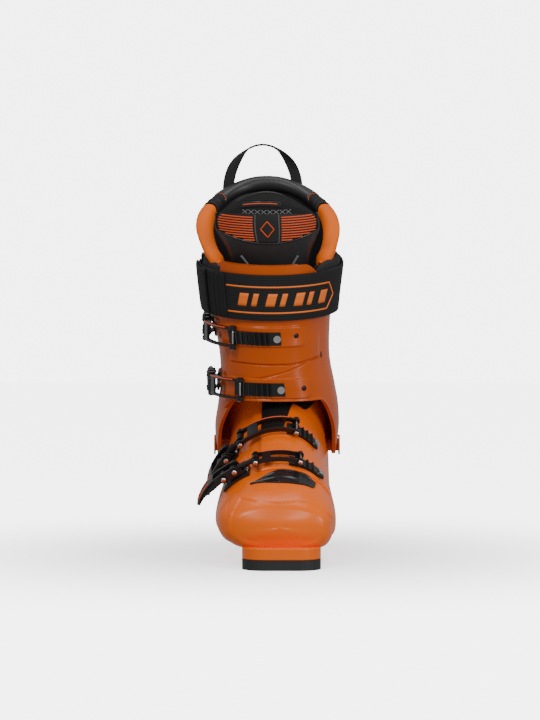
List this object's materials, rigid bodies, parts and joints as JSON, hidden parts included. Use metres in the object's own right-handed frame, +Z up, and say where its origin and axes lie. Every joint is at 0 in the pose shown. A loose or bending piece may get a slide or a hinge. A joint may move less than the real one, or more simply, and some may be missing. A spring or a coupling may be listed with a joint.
{
  "type": "alpine ski boot",
  "caption": "Right alpine ski boot: orange overlap shell and hinged cuff, micro-adjust buckles, power strap, and a black liner with orange collar pads.",
  "frame": {"origin": "Middle of the bounding box on the ground, under the sole", "axes": "+Z up from the ground to the pull loop, -Y from the heel to the toe, +X from the lateral side with the levers to the medial side"},
  "size_m": [0.1388, 0.305, 0.3849],
  "materials": {
    "shell_orange": "glossy",
    "cuff_orange": "glossy",
    "seal_black": "glossy",
    "sole_black": "matte",
    "board_plastic": "matte",
    "insole_foam": "matte",
    "liner_black": "matte",
    "pad_orange": "matte",
    "tongue_black": "satin",
    "webbing_black": "matte",
    "plastic_black": "satin",
    "magnesium_black": "satin",
    "steel": "satin",
    "steel_black": "satin"
  },
  "bodies": {
    "shell_body": {"lower_shell": "shell_orange", "overlap_flap": "shell_orange", "throat_seal": "seal_black", "toe_inset": "seal_black", "toe_sole": "sole_black", "heel_sole": "sole_black", "toe_sole_screws": "steel", "heel_sole_screws": "steel", "boot_board": "board_plastic", "insole": "insole_foam", "liner_foot": "liner_black", "toe_buckle_base": "plastic_black", "toe_ladder": "plastic_black", "toe_rivets": "steel", "instep_buckle_base": "plastic_black", "instep_ladder": "plastic_black", "instep_rivets": "steel"},
    "cuff_body": {"cuff": "cuff_orange", "cuff_pivots": "steel_black", "rear_spoiler": "plastic_black", "spine_bolts": "steel", "liner_upper": "liner_black", "collar_pads": "pad_orange", "liner_tongue": "tongue_black", "pull_loop": "webbing_black", "power_strap": "webbing_black", "strap_anchor": "webbing_black", "strap_ring": "plastic_black", "strap_screws": "steel", "shin_buckle_base": "plastic_black", "shin_ladder": "plastic_black", "shin_rivets": "steel", "calf_buckle_base": "plastic_black", "calf_ladder": "plastic_black", "calf_rivets": "steel"},
    "toe_lever_body": {"toe_buckle_lever": "magnesium_black", "toe_buckle_lever_pins": "steel_black"},
    "toe_barrel_body": {"toe_buckle_barrel": "steel_black"},
    "toe_bail_body": {"toe_buckle_bail": "magnesium_black", "toe_buckle_bail_pins": "steel"},
    "instep_lever_body": {"instep_buckle_lever": "magnesium_black", "instep_buckle_lever_pins": "steel_black"},
    "instep_barrel_body": {"instep_buckle_barrel": "steel_black"},
    "instep_bail_body": {"instep_buckle_bail": "magnesium_black", "instep_buckle_bail_pins": "steel"},
    "shin_lever_body": {"shin_buckle_lever": "magnesium_black", "shin_buckle_lever_pins": "steel_black"},
    "shin_barrel_body": {"shin_buckle_barrel": "steel_black"},
    "shin_bail_body": {"shin_buckle_bail": "magnesium_black", "shin_buckle_bail_pins": "steel"},
    "calf_lever_body": {"calf_buckle_lever": "magnesium_black", "calf_buckle_lever_pins": "steel_black"},
    "calf_barrel_body": {"calf_buckle_barrel": "steel_black"},
    "calf_bail_body": {"calf_buckle_bail": "magnesium_black", "calf_buckle_bail_pins": "steel"}
  },
  "joints": [
    {"name": "cuff_flex", "type": "hinge", "parent": "shell_body", "child": "cuff_body", "pos_m": [0.009, 0.062, 0.098], "axis": [1, 0, 0], "range_deg": [0, 5]},
    {"name": "toe_lever", "type": "hinge", "parent": "shell_body", "child": "toe_lever_body", "pos_m": [-0.03286, -0.08086, 0.08463], "axis": [0, 0.9473, 0.3202], "range_deg": [0, 110]},
    {"name": "toe_link", "type": "hinge", "parent": "toe_lever_body", "child": "toe_barrel_body", "pos_m": [-0.04251, -0.07857, 0.07785], "axis": [0, -0.9473, -0.3202], "range_deg": [0, 126.51]},
    {"name": "toe_bail", "type": "hinge", "parent": "toe_barrel_body", "child": "toe_bail_body", "pos_m": [-0.01396, -0.08377, 0.09323], "axis": [0, -0.9473, -0.3202], "range_deg": [0, 60]},
    {"name": "instep_lever", "type": "hinge", "parent": "shell_body", "child": "instep_lever_body", "pos_m": [-0.04106, -0.02708, 0.09425], "axis": [0, 0.8307, 0.5568], "range_deg": [0, 110]},
    {"name": "instep_link", "type": "hinge", "parent": "instep_lever_body", "child": "instep_barrel_body", "pos_m": [-0.04647, -0.02111, 0.08534], "axis": [0, -0.8307, -0.5568], "range_deg": [0, 126.51]},
    {"name": "instep_bail", "type": "hinge", "parent": "instep_barrel_body", "child": "instep_bail_body", "pos_m": [-0.02813, -0.03685, 0.10883], "axis": [0, -0.8307, -0.5568], "range_deg": [0, 60]},
    {"name": "shin_lever", "type": "hinge", "parent": "cuff_body", "child": "shin_lever_body", "pos_m": [-0.05647, 0.04592, 0.15911], "axis": [0, -0.0903, 0.9959], "range_deg": [0, 110]},
    {"name": "shin_link", "type": "hinge", "parent": "shin_lever_body", "child": "shin_barrel_body", "pos_m": [-0.05586, 0.05787, 0.16019], "axis": [0, 0.0903, -0.9959], "range_deg": [0, 126.51]},
    {"name": "shin_bail", "type": "hinge", "parent": "shin_barrel_body", "child": "shin_bail_body", "pos_m": [-0.05575, 0.02623, 0.15733], "axis": [0, 0.0903, -0.9959], "range_deg": [0, 60]},
    {"name": "calf_lever", "type": "hinge", "parent": "cuff_body", "child": "calf_lever_body", "pos_m": [-0.06071, 0.04635, 0.21175], "axis": [0, -0.1554, 0.9879], "range_deg": [0, 110]},
    {"name": "calf_link", "type": "hinge", "parent": "calf_lever_body", "child": "calf_barrel_body", "pos_m": [-0.05971, 0.05817, 0.21361], "axis": [0, 0.1554, -0.9879], "range_deg": [0, 126.51]},
    {"name": "calf_bail", "type": "hinge", "parent": "calf_barrel_body", "child": "calf_bail_body", "pos_m": [-0.06089, 0.02631, 0.2086], "axis": [0, 0.1554, -0.9879], "range_deg": [0, 60]}
  ],
  "couplings": [
    {"joint": "toe_link", "follows": "toe_lever", "ratio": 1.15},
    {"joint": "instep_link", "follows": "instep_lever", "ratio": 1.15},
    {"joint": "shin_link", "follows": "shin_lever", "ratio": 1.15},
    {"joint": "calf_link", "follows": "calf_lever", "ratio": 1.15}
  ]
}
